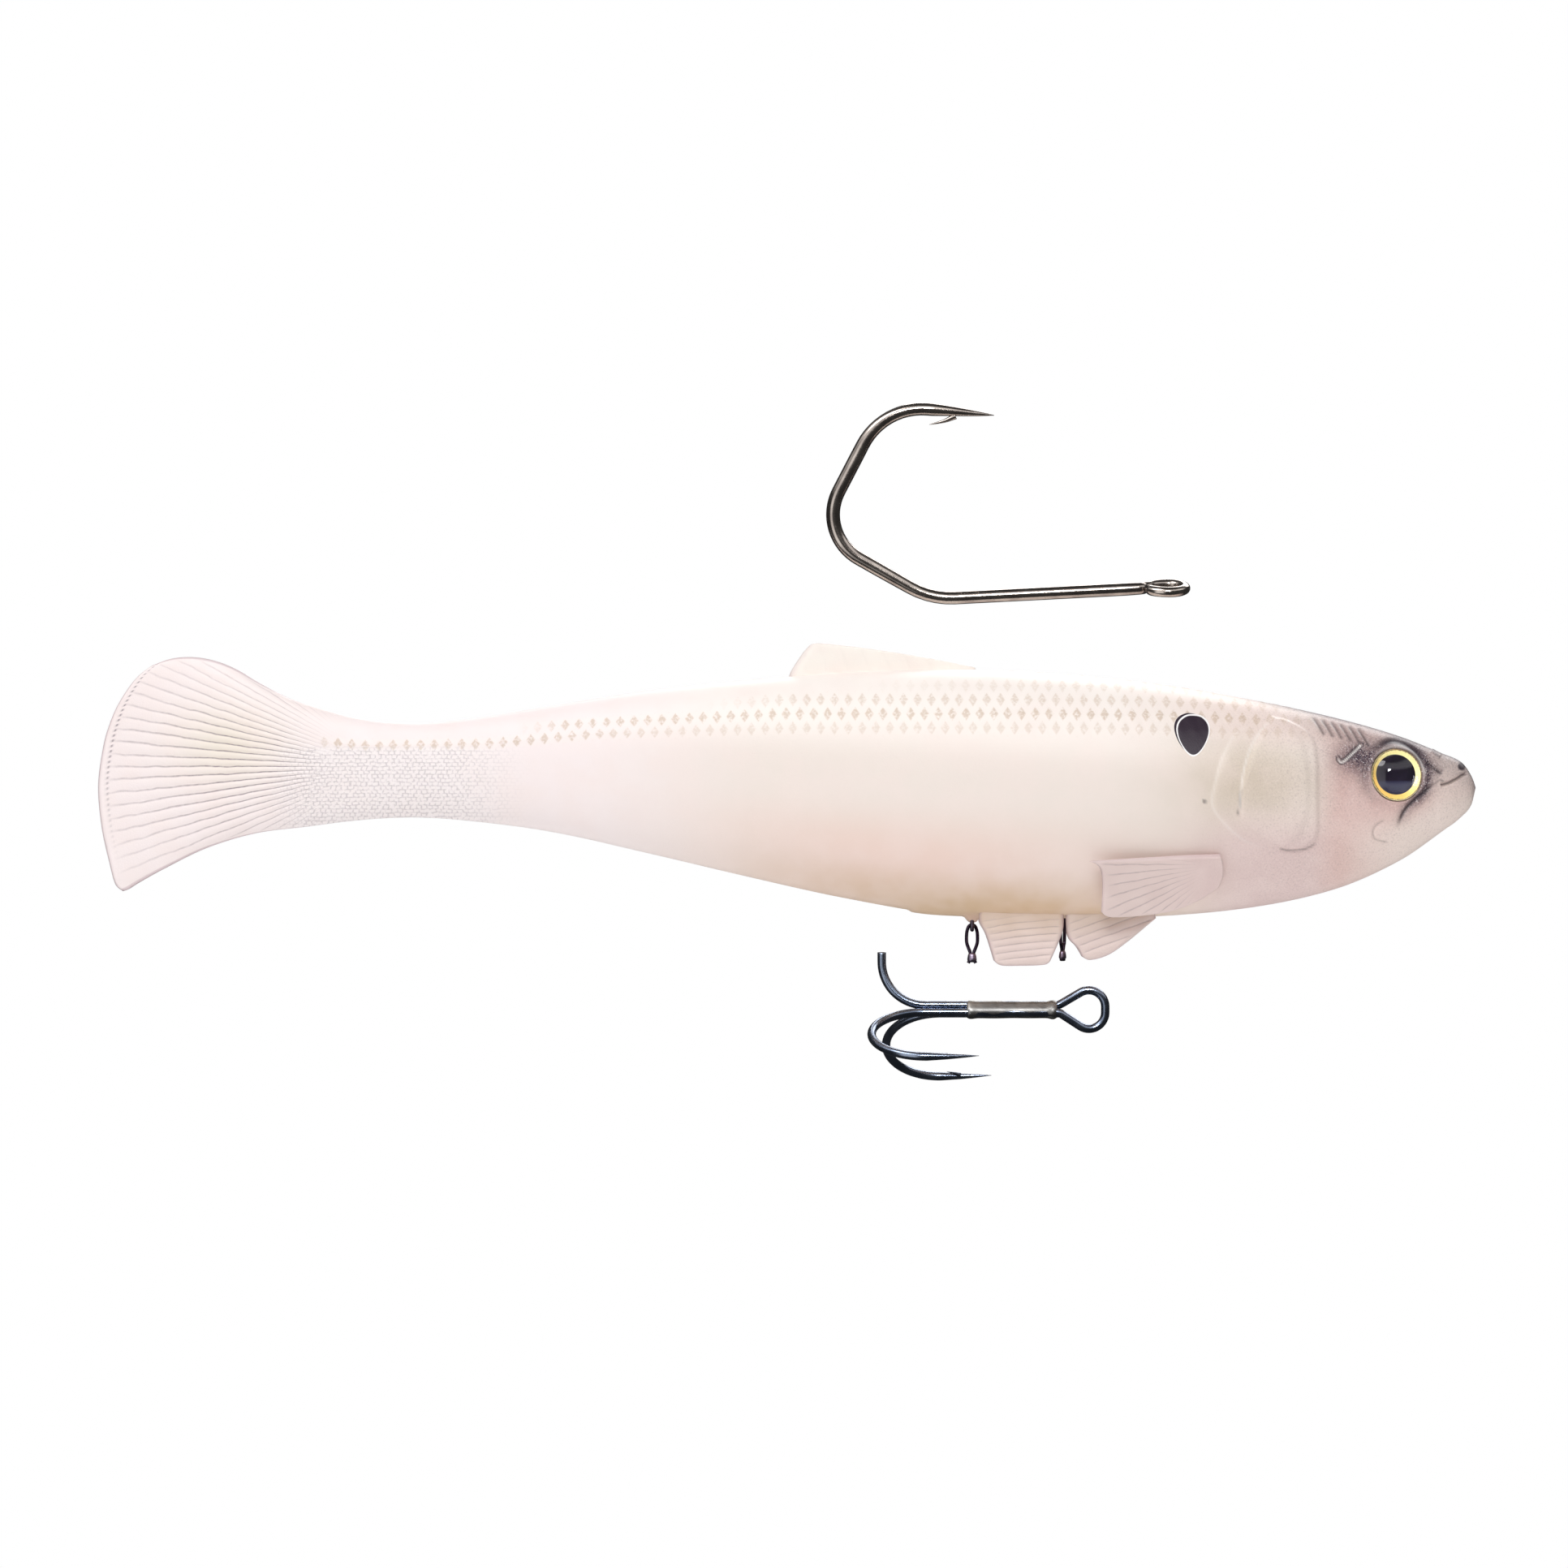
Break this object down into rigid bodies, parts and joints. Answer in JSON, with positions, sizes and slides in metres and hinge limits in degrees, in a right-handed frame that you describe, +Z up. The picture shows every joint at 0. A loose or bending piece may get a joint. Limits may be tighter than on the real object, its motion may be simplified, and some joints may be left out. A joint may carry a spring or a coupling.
{
  "type": "soft swimbait",
  "caption": "Soft fish-shaped fishing lure with a fan tail, belly flaps and wire hangers, shown with its loose wide-gap single hook above and treble hook below.",
  "frame": {"origin": "centre of the line tube's mouth at the nose, on the centre plane", "axes": "+X out of the nose towards the head end, +Y to the fish's left, +Z up towards the back"},
  "size_m": [0.1999, 0.0304, 0.0987],
  "materials": {
    "soft_body": "satin translucent pearl",
    "soft_fin": "satin translucent",
    "eye_foil": "gold foil with a black pupil",
    "eye_dome": "clear polished resin",
    "tube_plastic": "smooth",
    "ballast_metal": "cast",
    "steel_wire": "dark bright-drawn wire",
    "dark_nickel": "polished dark nickel",
    "solder": "dull solder",
    "mesh_cloth": "fine open weave"
  },
  "bodies": {
    "front": {"body_front": "soft_body", "eye_foil_left": "eye_foil", "eye_foil_right": "eye_foil", "eye_dome_left": "eye_dome", "eye_dome_right": "eye_dome", "line_tube": "tube_plastic", "ballast": "ballast_metal", "harness_wire": "steel_wire", "rear_staple": "steel_wire"},
    "middle": {"body_middle": "soft_body"},
    "rear": {"body_rear": "soft_body"},
    "tail": {"tail_root": "soft_body", "tail_mesh": "mesh_cloth"},
    "fan": {"tail_fin": "soft_fin"},
    "dorsal": {"dorsal_fin": "soft_fin"},
    "pectoral_left": {"pectoral_fin_left": "soft_fin"},
    "pectoral_right": {"pectoral_fin_right": "soft_fin"},
    "flap_front_left": {"flap_front_left": "soft_fin"},
    "flap_front_right": {"flap_front_right": "soft_fin"},
    "flap_rear_left": {"flap_rear_left": "soft_fin"},
    "flap_rear_right": {"flap_rear_right": "soft_fin"},
    "hanger_rear": {"rear_hanger": "steel_wire"},
    "hanger_front": {"front_hanger": "steel_wire"},
    "treble": {"treble_double_hook": "dark_nickel", "treble_third_hook": "dark_nickel", "treble_braze": "solder"},
    "hook": {"single_hook": "dark_nickel"}
  },
  "joints": [
    {"name": "bend_middle", "type": "hinge", "parent": "front", "child": "middle", "pos_m": [-0.108, 0, -0.001], "axis": [0, 0, 1], "range_deg": [-18, 18], "stiffness_Nm_per_rad": 0.03},
    {"name": "bend_rear", "type": "hinge", "parent": "middle", "child": "rear", "pos_m": [-0.13, 0, 0], "axis": [0, 0, 1], "range_deg": [-20, 20], "stiffness_Nm_per_rad": 0.02},
    {"name": "bend_tail", "type": "hinge", "parent": "rear", "child": "tail", "pos_m": [-0.15, 0, 0], "axis": [0, 0, 1], "range_deg": [-25, 25], "stiffness_Nm_per_rad": 0.01},
    {"name": "bend_fan", "type": "hinge", "parent": "tail", "child": "fan", "pos_m": [-0.168, 0, 0.0005], "axis": [0, 0, 1], "range_deg": [-30, 30], "stiffness_Nm_per_rad": 0.004},
    {"name": "dorsal_flex", "type": "hinge", "parent": "front", "child": "dorsal", "pos_m": [-0.0965, 0, 0.0136], "axis": [0.9992, 0, 0.0408], "range_deg": [-25, 25], "stiffness_Nm_per_rad": 0.002},
    {"name": "pectoral_left_flare", "type": "hinge", "parent": "front", "child": "pectoral_left", "pos_m": [-0.0355, 0.0118, -0.0128], "axis": [0, -0.4695, -0.8829], "range_deg": [0, 35], "stiffness_Nm_per_rad": 0.002},
    {"name": "pectoral_right_flare", "type": "hinge", "parent": "front", "child": "pectoral_right", "pos_m": [-0.0355, -0.0118, -0.0128], "axis": [0, -0.4695, 0.8829], "range_deg": [0, 35], "stiffness_Nm_per_rad": 0.002},
    {"name": "flap_front_left_splay", "type": "hinge", "parent": "front", "child": "flap_front_left", "pos_m": [-0.0514, 0.0038, -0.0212], "axis": [1, 0, 0], "range_deg": [-5, 30], "stiffness_Nm_per_rad": 0.002},
    {"name": "flap_front_right_splay", "type": "hinge", "parent": "front", "child": "flap_front_right", "pos_m": [-0.0514, -0.0038, -0.0212], "axis": [-1, 0, 0], "range_deg": [-5, 30], "stiffness_Nm_per_rad": 0.002},
    {"name": "flap_rear_left_splay", "type": "hinge", "parent": "front", "child": "flap_rear_left", "pos_m": [-0.0642, 0.0038, -0.0212], "axis": [1, 0, 0], "range_deg": [-5, 30], "stiffness_Nm_per_rad": 0.002},
    {"name": "flap_rear_right_splay", "type": "hinge", "parent": "front", "child": "flap_rear_right", "pos_m": [-0.0642, -0.0038, -0.0212], "axis": [-1, 0, 0], "range_deg": [-5, 30], "stiffness_Nm_per_rad": 0.002},
    {"name": "rear_hanger_swing", "type": "hinge", "parent": "front", "child": "hanger_rear", "pos_m": [-0.071, 0, -0.0234], "axis": [0, 1, 0], "range_deg": [-60, 60]},
    {"name": "front_hanger_swing", "type": "hinge", "parent": "front", "child": "hanger_front", "pos_m": [-0.05785, 0, -0.0205], "axis": [1, 0, 0], "range_deg": [-12, 12]},
    {"name": "treble_lift", "type": "slide", "parent": "front", "child": "treble", "axis": [0, 0, 1], "range_m": [0, 0.0034]},
    {"name": "single_hook_lift", "type": "slide", "parent": "front", "child": "hook", "axis": [0, 0, 1], "range_m": [0, 0.025]}
  ]
}
